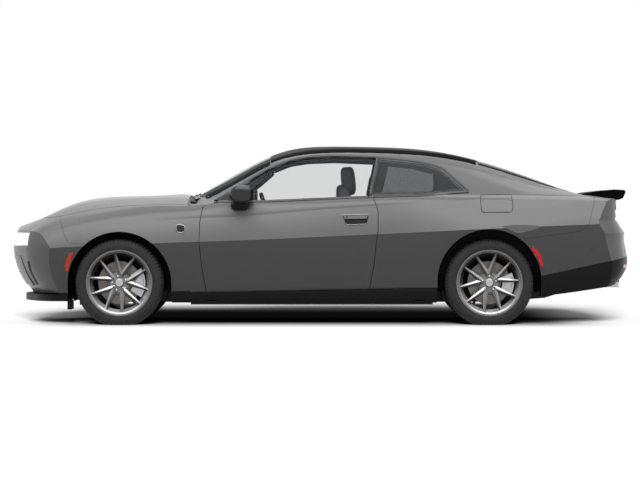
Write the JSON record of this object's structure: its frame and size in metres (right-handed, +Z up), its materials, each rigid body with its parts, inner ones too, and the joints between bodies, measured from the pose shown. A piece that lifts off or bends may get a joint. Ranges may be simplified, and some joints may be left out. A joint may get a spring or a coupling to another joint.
{
  "type": "two-door coupe car",
  "caption": "Large two-door fastback coupe with a long hood, black roof and mirrors, frameless doors, liftback with ducktail spoiler, steered front wheels and a furnished cabin.",
  "frame": {"origin": "on the ground under the middle of the overall length and width; the tyres are drawn unloaded, so they reach 16 mm below it", "axes": "+X towards the car's front, +Y to its left, +Z up"},
  "size_m": [5.2481, 2.2018, 1.5153],
  "materials": {
    "paint": "metallic silver grey, clear coated",
    "roof_black": "gloss black",
    "glass": "tinted, clear",
    "black_plastic": "grained satin black",
    "lamp_clear": "clear lens",
    "lamp_red": "red lens",
    "marker": "orange red lens",
    "structure": "satin black coated steel",
    "chassis_steel": "dark coated",
    "engine_iron": "cast",
    "exhaust_steel": "satin",
    "seat_leather": "black leather",
    "dash_plastic": "soft grained",
    "tyre": "rubber",
    "rim_metal": "machined, clear coated",
    "disc_iron": "turned iron",
    "caliper": "silver painted"
  },
  "bodies": {
    "body": {"body_side_left": "paint", "body_side_right": "paint", "fender_left": "paint", "fender_right": "paint", "front_bumper": "paint", "rear_bumper": "paint", "roof_panel": "roof_black", "windscreen": "glass", "quarter_glass": "glass", "grille": "black_plastic", "front_splitter": "black_plastic", "side_sills": "black_plastic", "rear_diffuser": "black_plastic", "cowl": "black_plastic", "wheelhouses": "black_plastic", "headlamps": "lamp_clear", "tail_lamp": "lamp_red", "side_markers": "marker", "floor_pan": "structure", "front_structure": "structure", "subframes": "chassis_steel", "knuckles_rear": "chassis_steel", "engine": "engine_iron", "exhaust": "exhaust_steel", "front_seats": "seat_leather", "rear_seat": "seat_leather", "dashboard": "dash_plastic", "steering_wheel": "dash_plastic", "calipers_rear": "caliper"},
    "hood": {"hood": "paint"},
    "door_left": {"door_left": "paint", "door_glass_left": "glass", "mirror_left": "roof_black"},
    "door_right": {"door_right": "paint", "door_glass_right": "glass", "mirror_right": "roof_black"},
    "tailgate": {"tailgate": "paint", "rear_glass": "glass", "spoiler": "roof_black"},
    "knuckle_left": {"knuckle_front_left": "chassis_steel", "caliper_front_left": "caliper"},
    "knuckle_right": {"knuckle_front_right": "chassis_steel", "caliper_front_right": "caliper"},
    "wheel_front_left": {"tyre_front_left": "tyre", "rim_front_left": "rim_metal", "disc_front_left": "disc_iron"},
    "wheel_front_right": {"tyre_front_right": "tyre", "rim_front_right": "rim_metal", "disc_front_right": "disc_iron"},
    "wheel_rear_left": {"tyre_rear_left": "tyre", "rim_rear_left": "rim_metal", "disc_rear_left": "disc_iron"},
    "wheel_rear_right": {"tyre_rear_right": "tyre", "rim_rear_right": "rim_metal", "disc_rear_right": "disc_iron"}
  },
  "joints": [
    {"name": "hood_hinge", "type": "hinge", "parent": "body", "child": "hood", "pos_m": [1.093, 0, 1.085], "axis": [0, -1, 0], "range_deg": [0, 45]},
    {"name": "tailgate_hinge", "type": "hinge", "parent": "body", "child": "tailgate", "pos_m": [-1.3195, 0, 1.389], "axis": [0, 1, 0], "range_deg": [0, 70]},
    {"name": "door_left_hinge", "type": "hinge", "parent": "body", "child": "door_left", "pos_m": [1.004, 0.97, 0.65], "axis": [0, 0, -1], "range_deg": [0, 65]},
    {"name": "door_right_hinge", "type": "hinge", "parent": "body", "child": "door_right", "pos_m": [1.004, -0.97, 0.65], "axis": [0, 0, 1], "range_deg": [0, 65]},
    {"name": "steer_left", "type": "hinge", "parent": "body", "child": "knuckle_left", "pos_m": [1.667, 0.788, 0.35], "axis": [0, 0, 1], "range_deg": [-35, 35]},
    {"name": "steer_right", "type": "hinge", "parent": "body", "child": "knuckle_right", "pos_m": [1.667, -0.788, 0.35], "axis": [0, 0, 1], "range_deg": [-35, 35]},
    {"name": "spin_front_left", "type": "hinge", "parent": "knuckle_left", "child": "wheel_front_left", "pos_m": [1.667, 0.838, 0.35], "axis": [0, 1, 0], "continuous": true},
    {"name": "spin_front_right", "type": "hinge", "parent": "knuckle_right", "child": "wheel_front_right", "pos_m": [1.667, -0.838, 0.35], "axis": [0, 1, 0], "continuous": true},
    {"name": "spin_rear_left", "type": "hinge", "parent": "body", "child": "wheel_rear_left", "pos_m": [-1.407, 0.838, 0.35], "axis": [0, 1, 0], "continuous": true},
    {"name": "spin_rear_right", "type": "hinge", "parent": "body", "child": "wheel_rear_right", "pos_m": [-1.407, -0.838, 0.35], "axis": [0, 1, 0], "continuous": true}
  ],
  "couplings": [
    {"joint": "steer_right", "follows": "steer_left", "ratio": 1}
  ]
}
